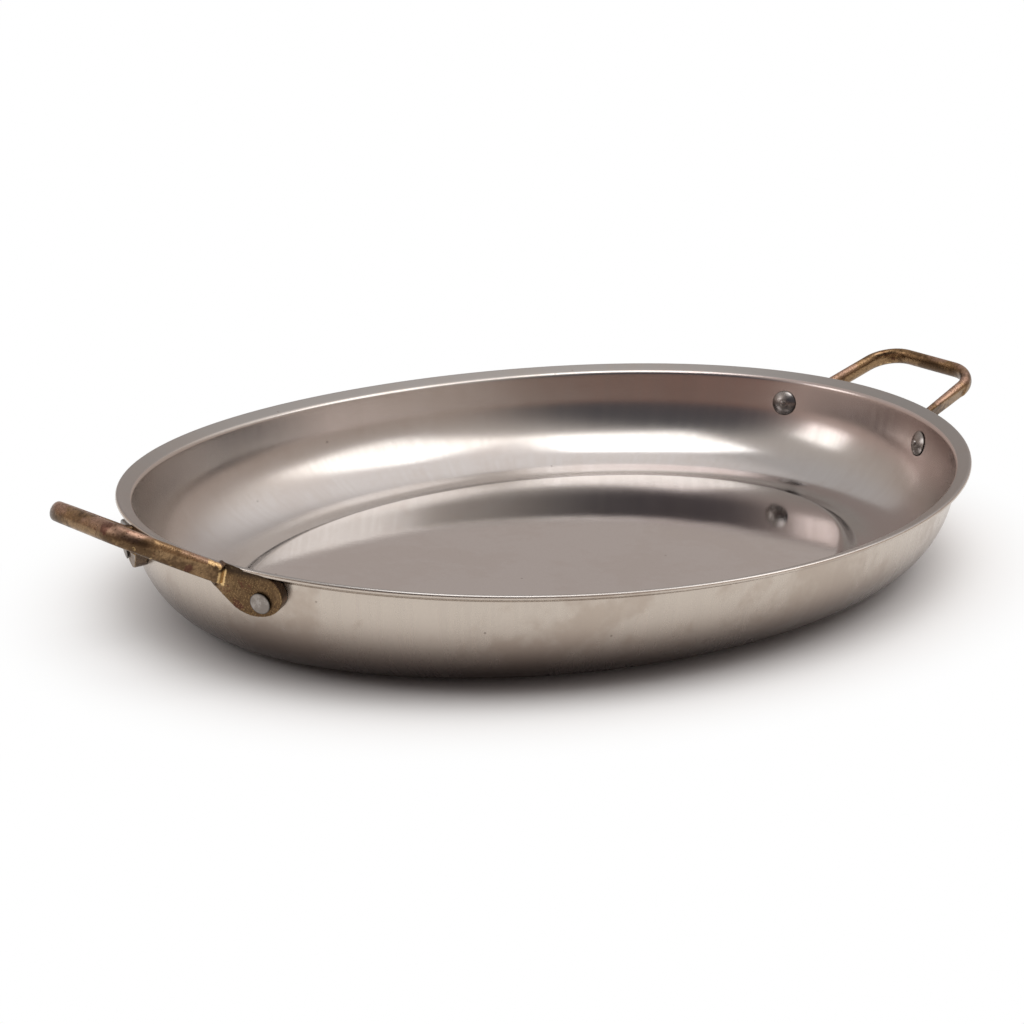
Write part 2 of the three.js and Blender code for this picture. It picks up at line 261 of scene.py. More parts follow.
def noise(tree, place, scale, detail, distortion=0):
    node = tree.nodes.new("ShaderNodeTexNoise")
    feed(tree, node.inputs["Vector"], place)
    feed(tree, node.inputs["Scale"], scale)
    feed(tree, node.inputs["Detail"], detail)
    feed(tree, node.inputs["Distortion"], distortion)
    return node.outputs["Fac"]


# Camera and studio

def place_camera():
    azimuth = math.radians(-42.208)
    elevation = math.radians(17.609)
    roll = math.radians(2.242)
    distance = 0.95317
    target = Vector((-0.054634, -0.034462, 0.040))
    sensor_width = 36
    focal_length = 96.7
    back = Vector((
        math.sin(azimuth) * math.cos(elevation),
        -math.cos(azimuth) * math.cos(elevation),
        math.sin(elevation)))
    across = Vector((0, 0, 1)).cross(back).normalized()
    upward = back.cross(across)
    turn = Matrix((across, upward, back)).transposed() @ Matrix.Rotation(roll, 3, "Z")
    bpy.ops.object.camera_add()
    camera = bpy.context.active_object
    camera.matrix_world = Matrix.Translation(target + distance * back) @ turn.to_4x4()
    camera.data.sensor_width = sensor_width
    camera.data.lens = focal_length
    camera.data.clip_start = 0.01
    bpy.context.scene.camera = camera


# A softbox that faces the dish, placed by its bearing from the +Y axis, how high it stands in the
# sky and how far away it is. Glow is the brightness of its cloth, where 1 is white.
def add_softbox(name, bearing, elevation, distance, size, glow):
    turn = math.radians(bearing)
    rise = math.radians(elevation)
    place = distance * Vector((
        math.sin(turn) * math.cos(rise), math.cos(turn) * math.cos(rise), math.sin(rise)))
    bpy.ops.object.light_add(type="AREA", location=place)
    lamp = bpy.context.active_object
    lamp.name = name
    facing = (-place).to_track_quat("-Z", "Y").to_matrix()
    lamp.rotation_euler = facing.to_euler()
    lamp.data.shape = "RECTANGLE"
    lamp.data.size = size[0]
    lamp.data.size_y = size[1]
    lamp.data.energy = glow * math.pi * size[0] * size[1]


def light_studio():
    add_softbox("overhead_softbox", bearing=192, elevation=77, distance=1.3, size=(0.88, 0.74), glow=2.15)
    add_softbox("right_softbox", bearing=126, elevation=46, distance=1.4, size=(0.74, 0.70), glow=1.5)
    add_softbox("left_softbox", bearing=-64, elevation=29, distance=1.4, size=(0.60, 0.56), glow=1.9)


# The room round the softboxes: bright overhead, and dark on the camera's side, where the dark is
# warm near the floor
def light_world():
    low_wall = (0.57, 0.475, 0.425)
    high_wall = (0.66, 0.62, 0.595)
    ceiling = (1.20, 1.12, 1.07)
    warm_shade = (0.32, 0.205, 0.165)
    deep_shade = (0.105, 0.102, 0.112)
    ceiling_direction = (0.49, -0.10, 0.87)
    shade_direction = (-0.66, -0.73, 0.17)
    world = bpy.data.worlds.new("studio")
    bpy.context.scene.world = world
    world.use_nodes = True
    tree = world.node_tree
    direction = tree.nodes.new("ShaderNodeTexCoord").outputs["Generated"]
    height = split(tree, direction)[2]
    wall = blend(tree, spread(tree, height, 0.05, 0.8), low_wall, high_wall)
    overhead = measure(tree, "DOT_PRODUCT", direction, ceiling_direction)
    wall = blend(tree, spread(tree, overhead, 0.72, 0.98), wall, ceiling)
    shade = blend(tree, spread(tree, height, 0.10, 0.24), warm_shade, deep_shade)
    shaded = measure(tree, "DOT_PRODUCT", direction, shade_direction)
    room = blend(tree, spread(tree, shaded, 0.50, 0.88), wall, shade)
    tree.links.new(room, tree.nodes["Background"].inputs["Color"])


# Pale paper that fades into an even white away from the dish. Near the dish it is lit by the
# lamps and the room alone, so that it keeps the shadow.
def floor_material():
    fade_start = 0.84          # as a share of the way from the middle of the dish to its rim
    fade_end = 1.30
    material = bpy.data.materials.new("floor_white")
    material.use_nodes = True
    tree = material.node_tree
    tree.nodes.remove(tree.nodes["Principled BSDF"])
    paper = tree.nodes.new("ShaderNodeBsdfDiffuse")
    paper.inputs["Color"].default_value = (0.88, 0.88, 0.88, 1)
    rays = tree.nodes.new("ShaderNodeLightPath").outputs
    mirrored = calculate(tree, "MAXIMUM", rays["Is Glossy Ray"], rays["Is Transmission Ray"])
    seen = calculate(tree, "MAXIMUM", rays["Is Camera Ray"], mirrored)
    glow = tree.nodes.new("ShaderNodeEmission")
    tree.links.new(seen, glow.inputs["Strength"])
    place = tree.nodes.new("ShaderNodeTexCoord").outputs["Object"]
    oval_place = calculate_vector(tree, "DIVIDE", place, (half_length, half_width, 1))
    away = measure(tree, "LENGTH", oval_place)
    mix = tree.nodes.new("ShaderNodeMixShader")
    tree.links.new(spread(tree, away, fade_start, fade_end), mix.inputs["Fac"])
    tree.links.new(paper.outputs["BSDF"], mix.inputs[1])
    tree.links.new(glow.outputs["Emission"], mix.inputs[2])
    tree.links.new(mix.outputs["Shader"], tree.nodes["Material Output"].inputs["Surface"])
    return material


def lay_floor():
    bpy.ops.mesh.primitive_plane_add(size=9)
    floor = name_piece("studio_floor")
    floor.data.materials.append(floor_material())


# Small helps for modelling

def deselect_all():
    bpy.ops.object.select_all(action="DESELECT")


def name_piece(name):
    piece = bpy.context.active_object
    piece.name = name
    piece.data.name = name
    return piece


def make_active(piece):
    deselect_all()
    piece.select_set(True)
    bpy.context.view_layer.objects.active = piece


def edit(piece, selected=True):
    make_active(piece)
    bpy.ops.object.mode_set(mode="EDIT")
    bpy.ops.mesh.select_all(action="SELECT" if selected else "DESELECT")


def stop_editing():
    bpy.ops.object.mode_set(mode="OBJECT")


def face_outward(piece):
    merge_distance = 1e-6
    edit(piece)
    bpy.ops.mesh.remove_doubles(threshold=merge_distance)
    bpy.ops.mesh.normals_make_consistent(inside=False)
    stop_editing()


# Adds a modifier with these settings and applies it at once
def finish_with(piece, kind, **settings):
    make_active(piece)
    modifier = piece.modifiers.new(kind.lower(), kind)
    for setting, value in settings.items():
        setattr(modifier, setting, value)
    bpy.ops.object.modifier_apply(modifier=modifier.name)


def put_in_place(piece, matrix):
    make_active(piece)
    piece.matrix_world = matrix
    bpy.ops.object.transform_apply()


def join(pieces):
    deselect_all()
    for piece in pieces:
        piece.select_set(True)
    bpy.context.view_layer.objects.active = pieces[0]
    bpy.ops.object.join()
    return pieces[0]


def cut_away(piece, cutter):
    finish_with(piece, "BOOLEAN", operation="DIFFERENCE", solver="EXACT", object=cutter)


def discard(piece):
    bpy.data.objects.remove(piece)


# Gives each point of a piece a number, worked out from its place, for the material to read
def mark_points(piece, name, rule):
    numbers = piece.data.attributes.new(name, "FLOAT", "POINT")
    for vertex, number in zip(piece.data.vertices, numbers.data):
        number.value = rule(vertex.co)


# Gives a finished piece its metal, and hides the node of the imported model that it stands for
def hand_over(piece, slot, node):
    piece.data.materials.clear()
    piece.data.materials.append(finishes[slot])
    make_active(piece)
    bpy.ops.object.shade_smooth_by_angle(angle=math.radians(smooth_angle))
    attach(piece, "root")
    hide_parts(node)


# Section of the dish, as points of inset and height

lip_slope = math.atan(lip_fall / lip_width)
lip_normal = Vector((math.sin(lip_slope), math.cos(lip_slope)))
wall_normal = Vector((math.cos(lean_angle), math.sin(lean_angle)))
edge_radius = sheet / 2
edge_centre = Vector((edge_radius, rim_height - edge_radius))


# Where the wall's outer side is at a height
def outer_inset(height):
    across = (wall_top.y - height) * math.tan(lean_angle)
    return wall_top.x + across - sheet / math.cos(lean_angle)


# The lip's outer corner, which is rounded later, and the point where its flat top begins
def lip_points():
    top = edge_centre + edge_radius * lip_normal
    along = Vector((lip_normal.y, -lip_normal.x))
    return [top - edge_radius * along, top]


def bend_points():
    steps = 10
    lip_line = lip_normal.dot(edge_centre) + edge_radius
    wall_line = wall_normal.dot(wall_top)
    cross = lip_normal.cross(wall_normal)
    corner = Vector((
        (lip_line * wall_normal.y - lip_normal.y * wall_line) / cross,
        (lip_normal.x * wall_line - lip_line * wall_normal.x) / cross))
    reach = bend_radius / (1 + lip_normal.dot(wall_normal))
    centre = corner - reach * (lip_normal + wall_normal)
    points = []
    for i in range(steps + 1):
        turn = lip_slope + (math.pi / 2 - lean_angle - lip_slope) * i / steps
        points.append(centre + bend_radius * Vector((math.sin(turn), math.cos(turn))))
    return points


# The curve from the wall down to the ring that the dish stands on, or one that lies outside it
def foot_points(outside=0):
    steps = 44
    centre_height = sheet + foot_height
    slope = math.tan(lean_angle)
    across = ring_inset - wall_top.x - (wall_top.y - centre_height) * slope
    foot_length = math.sqrt(across ** 2 - (foot_height * slope) ** 2)
    start = math.atan(foot_height * slope / foot_length)
    points = []
    for i in range(steps + 1):
        turn = start + (math.pi / 2 - start) * i / steps
        inset = ring_inset - foot_length * math.cos(turn)
        point = Vector((inset, centre_height - foot_height * math.sin(turn)))
        out = Vector((foot_height * math.cos(turn), foot_length * math.sin(turn))).normalized()
        points.append(point - outside * out)
    return points


def rise_points():
    steps = 18
    points = []
    for i in range(steps + 1):
        inset = ring_inset + ring_width + rise_width * i / steps
        height = sheet + floor_rise * (1 - math.cos(math.pi * i / steps)) / 2
        points.append(Vector((inset, height)))
    return points


# Two rings on the flat floor, one close to the rise and one further in, which keep the floor's
# shading level up to the rise
def floor_points():
    from_rise = (0.0004, 0.006)
    edge = ring_inset + ring_width + rise_width
    return [Vector((edge + width, floor_height)) for width in from_rise]


# Points from one to the next, spaced evenly, without the two ends
def between(start, end, steps):
    return [start.lerp(end, i / steps) for i in range(1, steps)]


def upper_side():
    lip = lip_points()
    bend = bend_points()
    foot = foot_points()
    lip_stretch = between(lip[-1], bend[0], 3)
    wall_stretch = between(bend[-1], foot[0], 8)
    return lip + lip_stretch + bend + wall_stretch + foot + rise_points() + floor_points()


# Lifts the ends of the rim and drops its sides, dying away to nothing at the floor
def sweep_rim(piece):
    for vertex in piece.data.vertices:
        x = (vertex.co.x / half_length) ** 2
        y = (vertex.co.y / half_width) ** 2
        share = max(0, (vertex.co.z - floor_height) / (rim_height - floor_height))
        if share > 0:
            vertex.co.z += rim_sweep * share * (x - y) / (x + y)


# The dish: the blank is an oval disc that is drawn inward and down ring by ring
def press_dish():
    points = upper_side()
    first = points[0]
    bpy.ops.mesh.primitive_circle_add(
        vertices=oval_sides, radius=1, fill_type="NGON", location=(0, 0, first.y))
    dish = name_piece("steel_dish")
    bpy.ops.object.transform_apply()
    edit(dish)
    bpy.ops.transform.resize(value=(half_length - first.x, half_width - first.x, 1))
    for last, point in zip(points, points[1:]):
        bpy.ops.mesh.inset(thickness=point.x - last.x, depth=point.y - last.y)
    bpy.ops.mesh.poke()
    stop_editing()
    finish_with(dish, "SOLIDIFY", thickness=sheet, offset=-1, use_even_offset=True,
                use_quality_normals=True)
    # A little less than the edge's radius, so that the bevels of its two corners don't meet
    round_over = 0.97 * edge_radius
    finish_with(dish, "BEVEL", width=round_over, segments=5, limit_method="ANGLE",
                angle_limit=math.radians(60))
    sweep_rim(dish)
    return dish


# A closed body of stacked oval rings, each with its half length, half width and height
def stack_rings(name, rings, sides):
    bpy.ops.mesh.primitive_circle_add(
        vertices=sides, radius=1, fill_type="NGON", location=(0, 0, rings[0][2]))
    piece = name_piece(name)
    bpy.ops.object.transform_apply()
    edit(piece)
    bpy.ops.transform.resize(value=(rings[0][0], rings[0][1], 1))
    for last, ring in zip(rings, rings[1:]):
        bpy.ops.mesh.extrude_region_move(
            TRANSFORM_OT_translate={"value": (0, 0, ring[2] - last[2])})
        bpy.ops.transform.resize(value=(ring[0] / last[0], ring[1] / last[1], 1))
    stop_editing()
    face_outward(piece)
    return piece


# What a handle must keep clear of: the dish as a filled body, a gap larger all round and drawn
# up above the rim
def keep_clear_body():
    below_bend = 0.001
    lowest = 0.008
    wall_height = wall_top.y - below_bend
    wall_inset = outer_inset(wall_height) - seat_gap / math.cos(lean_angle)
    section = [point for point in reversed(foot_points(sheet + seat_gap)) if point.y > lowest]
    section.append(Vector((wall_inset, wall_height)))
    rings = [(half_length - point.x, half_width - point.x, point.y) for point in section]
    widest = (half_length + seat_gap, half_width + seat_gap)
    rings.append((*widest, edge_centre.y))
    rings.append((*widest, rim_height + 3 * rod_height))
    body = stack_rings("keep_clear", rings, oval_sides)
    sweep_rim(body)
    return body


# Rivets

# The level direction square to the rim, at an angle round its oval
def rim_normal(angle):
    return Vector((half_width * math.cos(angle), half_length * math.sin(angle), 0)).normalized()


# The place of a rivet on the wall's outer side at the dish's right end: X of the frame runs level
# along the wall, Y up it and Z out of it. Side is -1 for the front rivet and 1 for the back one.
def rivet_frame(height, side):
    inset = outer_inset(height)
    rounds = 12
    # Each round brings the angle nearer to where the rivets are at their spacing
    angle = 0
    for _ in range(rounds):
        angle = math.asin((rivet_spacing / 2 + inset * rim_normal(angle).y) / half_width)
    level = rim_normal(angle)
    share = (height - floor_height) / (rim_height - floor_height)
    lift = rim_sweep * math.cos(2 * angle) * share
    rim = Vector((half_length * math.cos(angle), half_width * math.sin(angle), height + lift))
    origin = rim - inset * level
    level.y *= side
    origin.y *= side
    out = Vector((level.x * math.cos(lean_angle), level.y * math.cos(lean_angle), -math.sin(lean_angle)))
    along = Vector((-level.y, level.x, 0))
    up = out.cross(along)
    matrix = Matrix((along, up, out)).transposed().to_4x4()
    return Matrix.Translation(origin) @ matrix


# Rings of a low crown, from its edge almost to the axis
def crown_rings(radius, height, base, direction):
    steps = 8
    ball = (radius ** 2 + height ** 2) / (2 * height)
    half_angle = math.asin(radius / ball)
    rings = []
    for i in range(steps):
        turn = half_angle * (1 - i / steps)
        rise = ball * math.cos(turn) - (ball - height)
        rings.append((ball * math.sin(turn), base + direction * rise))
    return rings


# A rivet upright on the origin: inner head with its nib, shank and outer head
def model_rivet(name):
    inner_radius = inner_head_diameter / 2
    inner_base = -sheet - seat_gap - head_hollow
    outer_base = pad_front + seat_gap
    nib_radius = nib_diameter / 2
    nib_top = inner_base - inner_head_height - nib_height
    nib_foot = inner_base - 0.93 * inner_head_height   # sunk a little into the dome
    nib = [
        (0.55 * nib_radius, nib_top),
        (0.85 * nib_radius, nib_top + 0.3 * nib_height),
        (nib_radius, nib_foot),
    ]
    dome_start = 1.1 * nib_radius
    dome = crown_rings(inner_radius, inner_head_height, inner_base, -1)
    dome = [ring for ring in reversed(dome) if ring[0] > dome_start]
    shank_radius = shank_diameter / 2
    shank = [(shank_radius, inner_base), (shank_radius, outer_base)]
    outer_radius = outer_head_diameter / 2
    edge = [
        (outer_radius - outer_head_rounding, outer_base),
        (outer_radius, outer_base + outer_head_rounding),
    ]
    outer = crown_rings(outer_radius, outer_head_crown, outer_base + outer_head_edge, 1)
    rings = [(r, r, z) for r, z in nib + dome + shank + edge + outer]
    rivet = stack_rings(name, rings, rivet_sides)
    mark_points(rivet, "from_axis", lambda point: math.hypot(point.x, point.y))
    mark_points(rivet, "outer_head", lambda point: float(point.z > 0))
    return rivet


def hole_cutter(matrix):
    depth = 0.02
    bpy.ops.mesh.primitive_cylinder_add(
        vertices=rivet_sides, radius=shank_diameter / 2 + shank_gap, depth=depth)
    cutter = name_piece("hole_cutter")
    put_in_place(cutter, matrix)
    return cutter


# Handles

foot_half = rivet_spacing / 2 - foot_inward
leg_splay = math.atan((foot_half - grip_width / 2) / leg_length)


# The place of a handle's U: its origin is midway between the legs' feet, X runs out in the plane
# of the U and Y across it
def rod_place(handle, frames):
    middle = (frames[-1].translation + frames[1].translation) / 2
    roll = math.atan2(handle["skew"], rivet_spacing)
    lift = Matrix.Translation((middle.x, 0, middle.z + foot_rise))
    return lift @ Matrix.Rotation(roll, 4, "X") @ Matrix.Rotation(-math.radians(handle["tilt"]), 4, "Y")


# A thin oval disc across the leg on one side, so far from the foot
def leg_disc(side, along):
    bpy.ops.mesh.primitive_cylinder_add(vertices=rod_sides, radius=1, depth=slice_thickness)
    disc = name_piece("leg_disc")
    disc.scale = (rod_width / 2, rod_height / 2, 1)
    disc.location = (0, 0, along)
    bpy.ops.object.transform_apply()
    foot = Matrix.Translation((0, side * foot_half, 0))
    turn = Matrix.Rotation(-side * leg_splay, 4, "Z")
    axis_to_x = Matrix(((0, 0, 1, 0), (1, 0, 0, 0), (0, 1, 0, 0), (0, 0, 0, 1)))
    put_in_place(disc, foot @ turn @ axis_to_x)
    return disc


# The rod, bent from one foot to the other in the plane of X and Y
def bend_rod():
    centre_x = leg_length - corner_radius
    centre_y = grip_width / 2 - corner_radius * (1 - math.sin(leg_splay)) / math.cos(leg_splay)
    turn = math.pi / 2 - leg_splay
    leg = Vector((
        centre_x + corner_radius * math.cos(turn),
        foot_half - centre_y - corner_radius * math.sin(turn), 0))
    rod = leg_disc(-1, 0)
    rod.name = "rod"
    edit(rod, selected=False)
    stop_editing()
    for face in rod.data.polygons:
        face.select = face.normal.x > 0.9
    bpy.ops.object.mode_set(mode="EDIT")
    bpy.ops.mesh.extrude_region_move(TRANSFORM_OT_translate={"value": leg})
    bpy.ops.mesh.spin(
        steps=rod_corner_steps, angle=-turn, center=(centre_x, -centre_y, 0), axis=(0, 0, 1))
    bpy.ops.mesh.extrude_region_move(TRANSFORM_OT_translate={"value": (0, 2 * centre_y, 0)})
    bpy.ops.mesh.spin(
        steps=rod_corner_steps, angle=-turn, center=(centre_x, centre_y, 0), axis=(0, 0, 1))
    bpy.ops.mesh.extrude_region_move(TRANSFORM_OT_translate={"value": (-leg.x, leg.y, 0)})
    stop_editing()
    face_outward(rod)
    return rod


# One body that fills the tightest skin round these
def draw_together(bodies):
    whole = join(bodies)
    edit(whole)
    bpy.ops.mesh.convex_hull()
    stop_editing()
    return whole


# The two round corners at the neck's end of the pad, from inside the wall to the pad's face
def neck_corners(side):
    corners = []
    for back, rise in (neck_bottom, neck_top):
        bpy.ops.mesh.primitive_cylinder_add(
            vertices=neck_corner_sides, radius=neck_corner_radius, depth=pad_depth,
            location=(-side * back, rise, pad_depth / 2 - sheet))
        corners.append(name_piece("neck_corner"))
        bpy.ops.object.transform_apply()
    return corners


# The neck on one side, from a slice of the leg to the pad
def form_neck(side, frame, place):
    disc = leg_disc(side, neck_reach)
    put_in_place(disc, place)
    corners = neck_corners(side)
    for corner in corners:
        put_in_place(corner, frame)
    return draw_together([disc, *corners])


# The pad's plate, round at one end and drawn out to the neck's corners, with bevelled edges
def pad_plate(side):
    bpy.ops.mesh.primitive_cylinder_add(vertices=pad_sides, radius=1, depth=pad_depth)
    round_end = name_piece("pad")
    round_end.scale = (pad_half_length, pad_half_height, 1)
    round_end.location = (-side * pad_centre_back, pad_centre_rise, pad_depth / 2 - sheet)
    bpy.ops.object.transform_apply()
    pad = draw_together([round_end, *neck_corners(side)])
    finish_with(pad, "BEVEL", width=pad_bevel, segments=3, limit_method="ANGLE",
                angle_limit=math.radians(50))
    return pad


# What is cut away in front of the pad, back to the step at the end of the rod
def step_block(side, frame):
    bpy.ops.mesh.primitive_cube_add(size=leg_length)
    block = name_piece("step_block")
    shift = Matrix.Translation((side * leg_length / 2, 0, leg_length / 2))
    lean = Matrix.Rotation(-side * math.radians(step_lean), 4, "Z")
    foot = Matrix.Translation((-side * step_back, step_rise, pad_front))
    put_in_place(block, frame @ foot @ lean @ shift)
    return block


# What is cut away so that the leg has a flat flank above its step
def flank_block(side, frame, place):
    lean = math.radians(step_lean)
    leg = place.to_3x3() @ Vector((math.cos(leg_splay), -side * math.sin(leg_splay), 0))
    edge = frame.to_3x3() @ Vector((side * math.sin(lean), math.cos(lean), 0))
    face = -side * leg.cross(edge).normalized()
    step_top = frame @ Vector((-side * step_back, step_rise, pad_front + step_height))
    bpy.ops.mesh.primitive_cube_add(size=leg_length, location=(0, 0, leg_length / 2))
    block = name_piece("flank_block")
    bpy.ops.object.transform_apply()
    flare = Matrix.Rotation(side * math.radians(flank_flare), 4, "X")
    basis = Matrix((edge, face.cross(edge), face)).transposed().to_4x4()
    put_in_place(block, Matrix.Translation(step_top) @ basis @ flare)
    return block


# Where a point in a rivet's frame lies from the rivet: how far back towards the handle's middle,
# how far up the wall, and how far out from the pad's face
def from_rivet(point, side):
    return -side * point.x, point.y, point.z - pad_front


# Whether a point lies on the milled face of the pad
def on_pad_face(back, rise, above):
    nearness = 0.0004
    near = math.hypot(back, rise) < pad_half_length + pad_centre_back
    return float(near and abs(above) < nearness)


# How much of the step's face is at a point: all of it in the middle, fading at both ends
def on_step_face(back, rise, above):
    nearness = 0.0006
    lowest = -0.0002
    highest = step_height + 0.0008
    half_face = 0.0036
    fade = 0.0010
    lean = math.radians(step_lean)
    before = step_back - back
    beyond = rise - step_rise
    across = before * math.cos(lean) - beyond * math.sin(lean)
    along = abs(before * math.sin(lean) + beyond * math.cos(lean))
    level = abs(across) < nearness and lowest < above < highest
    return level * max(0, min(1, (half_face - along) / fade))


# How deep in the lip's shade a point is, for the painted shadow under the lip: the top of the pad's face,
# and its upper side
def depth_in_lip_shade(back, rise, above):
    pad_end = neck_top[0] + 0.0005
    highest = 0.001
    edge_of_face = -0.0006
    face_start = 0.0076
    side_start = 0.001
    fade = 0.002
    if above > highest or abs(back) > pad_end:
        return 0
    start = face_start if above > edge_of_face else side_start
    return max(0, min(1, (rise - start) / fade))


# Marks the places on a casting that its finish reads
def mark_casting(casting, frames):
    rules = {"pad_face": on_pad_face, "step_face": on_step_face, "shade_under_lip": depth_in_lip_shade}
    away = {side: frame.inverted() for side, frame in frames.items()}
    for name, rule in rules.items():
        mark_points(casting, name, lambda point: max(
            rule(*from_rivet(matrix @ point, side)) for side, matrix in away.items()))


# A handle at the right end: the rod with its necks, cut at the steps, and the pads before them
def cast_handle(name, handle, frames, keep_clear):
    place = rod_place(handle, frames)
    rod = bend_rod()
    put_in_place(rod, place)
    parts = [rod]
    for side, frame in frames.items():
        parts.append(form_neck(side, frame, place))
    for side, frame in frames.items():
        for block in (step_block(side, frame), flank_block(side, frame, place)):
            for part in parts:
                cut_away(part, block)
            discard(block)
    for side, frame in frames.items():
        pad = pad_plate(side)
        put_in_place(pad, frame)
        parts.append(pad)
    casting = join(parts)
    casting.name = name
    casting.data.name = name
    finish_with(casting, "REMESH", mode="VOXEL", voxel_size=cast_grain)
    finish_with(casting, "SMOOTH", factor=0.5, iterations=8)
    cut_away(casting, keep_clear)
    for frame in frames.values():
        hole = hole_cutter(frame)
        cut_away(casting, hole)
        discard(hole)
    mark_casting(casting, frames)
    return casting


# Effects that the finishes use, each a group of shader nodes

def new_group(name, places, numbers, masks):
    group = bpy.data.node_groups.new(name, "ShaderNodeTree")
    for label in places:
        group.interface.new_socket(name=label, in_out="INPUT", socket_type="NodeSocketVector")
    for label in numbers:
        group.interface.new_socket(name=label, in_out="INPUT", socket_type="NodeSocketFloat")
    for label in masks:
        group.interface.new_socket(name=label, in_out="OUTPUT", socket_type="NodeSocketFloat")
    source = group.nodes.new("NodeGroupInput").outputs
    result = group.nodes.new("NodeGroupOutput").inputs
    return group, source, result


# Uses a group in a material with its own values, and returns its outputs
def use(tree, group, **sources):
    node = tree.nodes.new("ShaderNodeGroup")
    node.node_tree = group
    for label, source in sources.items():
        feed(tree, node.inputs[label.replace("_", " ")], source)
    return node.outputs


# Brushed lines and the fine grain between them
def brushed_grain_group():
    places = ["Along", "Place"]
    numbers = ["Line Scale", "Grain Scale"]
    group, source, result = new_group("brushed_grain", places, numbers, ["Lines", "Grain", "Height"])
    lines = noise(group, source["Along"], source["Line Scale"], 5)
    grain = noise(group, source["Place"], source["Grain Scale"], 2)
    group.links.new(spread(group, lines, 0.32, 0.68), result["Lines"])
    group.links.new(spread(group, grain, 0.30, 0.70), result["Grain"])
    height = add_share(group, multiply(group, lines, 0.5), grain, 0.5)
    group.links.new(height, result["Height"])
    return group


# Cloudy patches, such as stains and patina
def patches_group():
    finer = 7
    group, source, result = new_group("patches", ["Place"], ["Scale", "Level", "Softness"], ["Mask"])
    broad = noise(group, source["Place"], source["Scale"], 4, 0.5)
    fine = noise(group, source["Place"], multiply(group, source["Scale"], finer), 3)
    cloud = add_share(group, multiply(group, broad, 0.75), fine, 0.25)
    end = calculate(group, "ADD", source["Level"], source["Softness"])
    group.links.new(spread(group, cloud, source["Level"], end), result["Mask"])
    return group


# Small dots of one size, of which only a share is kept
def specks_group():
    group, source, result = new_group("specks", ["Place"], ["Scale", "Size", "Share"], ["Mask"])
    cells = group.nodes.new("ShaderNodeTexVoronoi")
    group.links.new(source["Place"], cells.inputs["Vector"])
    group.links.new(source["Scale"], cells.inputs["Scale"])
    heart = multiply(group, source["Size"], 0.5)
    dot = spread(group, cells.outputs["Distance"], heart, source["Size"], 1, 0)
    chance = group.nodes.new("ShaderNodeSeparateColor")
    group.links.new(cells.outputs["Color"], chance.inputs["Color"])
    kept = calculate(group, "LESS_THAN", chance.outputs["Red"], source["Share"])
    group.links.new(multiply(group, dot, kept), result["Mask"])
    return group


# Edges rubbed bright, broken up by a fine cloud
def worn_edges_group():
    group, source, result = new_group(
        "worn_edges", ["Place"], ["Low", "High", "Breakup Scale"], ["Mask"])
    sharp = group.nodes.new("ShaderNodeNewGeometry").outputs["Pointiness"]
    edge = spread(group, sharp, source["Low"], source["High"])
    rubbed = spread(group, noise(group, source["Place"], source["Breakup Scale"], 3), 0.36, 0.56)
    group.links.new(multiply(group, edge, rubbed), result["Mask"])
    return group


# One mark at a place, round but for its ragged edge
def mark_group():
    ragged_scale = 420
    group, source, result = new_group("mark", ["Place", "Centre"], ["Radius"], ["Mask"])
    distance = measure(group, "DISTANCE", source["Place"], source["Centre"])
    ragged = calculate(group, "SUBTRACT", noise(group, source["Place"], ragged_scale, 3), 0.5)
    wobble = multiply(group, ragged, multiply(group, source["Radius"], 2.5))
    distance = calculate(group, "ADD", distance, wobble)
    heart = multiply(group, source["Radius"], 0.55)
    group.links.new(spread(group, distance, heart, source["Radius"], 1, 0), result["Mask"])
    return group


# Materials

def new_metal(name):
    material = bpy.data.materials.new(name)
    material.use_nodes = True
    tree = material.node_tree
    shader = tree.nodes["Principled BSDF"]
    shader.inputs["Metallic"].default_value = 1
    place = tree.nodes.new("ShaderNodeTexCoord").outputs["Object"]
    return material, tree, shader, place


def attribute(tree, name):
    node = tree.nodes.new("ShaderNodeAttribute")
    node.attribute_name = name
    return node.outputs["Fac"]


def raise_surface(tree, shader, height, distance):
    bump = tree.nodes.new("ShaderNodeBump")
    bump.inputs["Strength"].default_value = 1
    bump.inputs["Distance"].default_value = distance
    tree.links.new(height, bump.inputs["Height"])
    tree.links.new(bump.outputs["Normal"], shader.inputs["Normal"])


def surface_direction(tree):
    return tree.nodes.new("ShaderNodeNewGeometry").outputs["Normal"]


# The masks of these marks, each given by its place and radius
def mark_masks(tree, place, spots):
    masks = []
    for centre, radius in spots:
        masks.append(use(tree, mark, Place=place, Centre=centre, Radius=radius)["Mask"])
    return masks


# The place that brushed lines follow up the wall: it changes round the dish and hardly at all
# with height
def brushing_place(tree, outward, height):
    drift = 0.05
    mean_radius = (half_length + half_width) / 2
    around = calculate_vector(tree, "MULTIPLY", outward, (mean_radius, mean_radius, mean_radius))
    upward = combine(tree, z=multiply(tree, height, drift))
    return calculate_vector(tree, "ADD", around, upward)


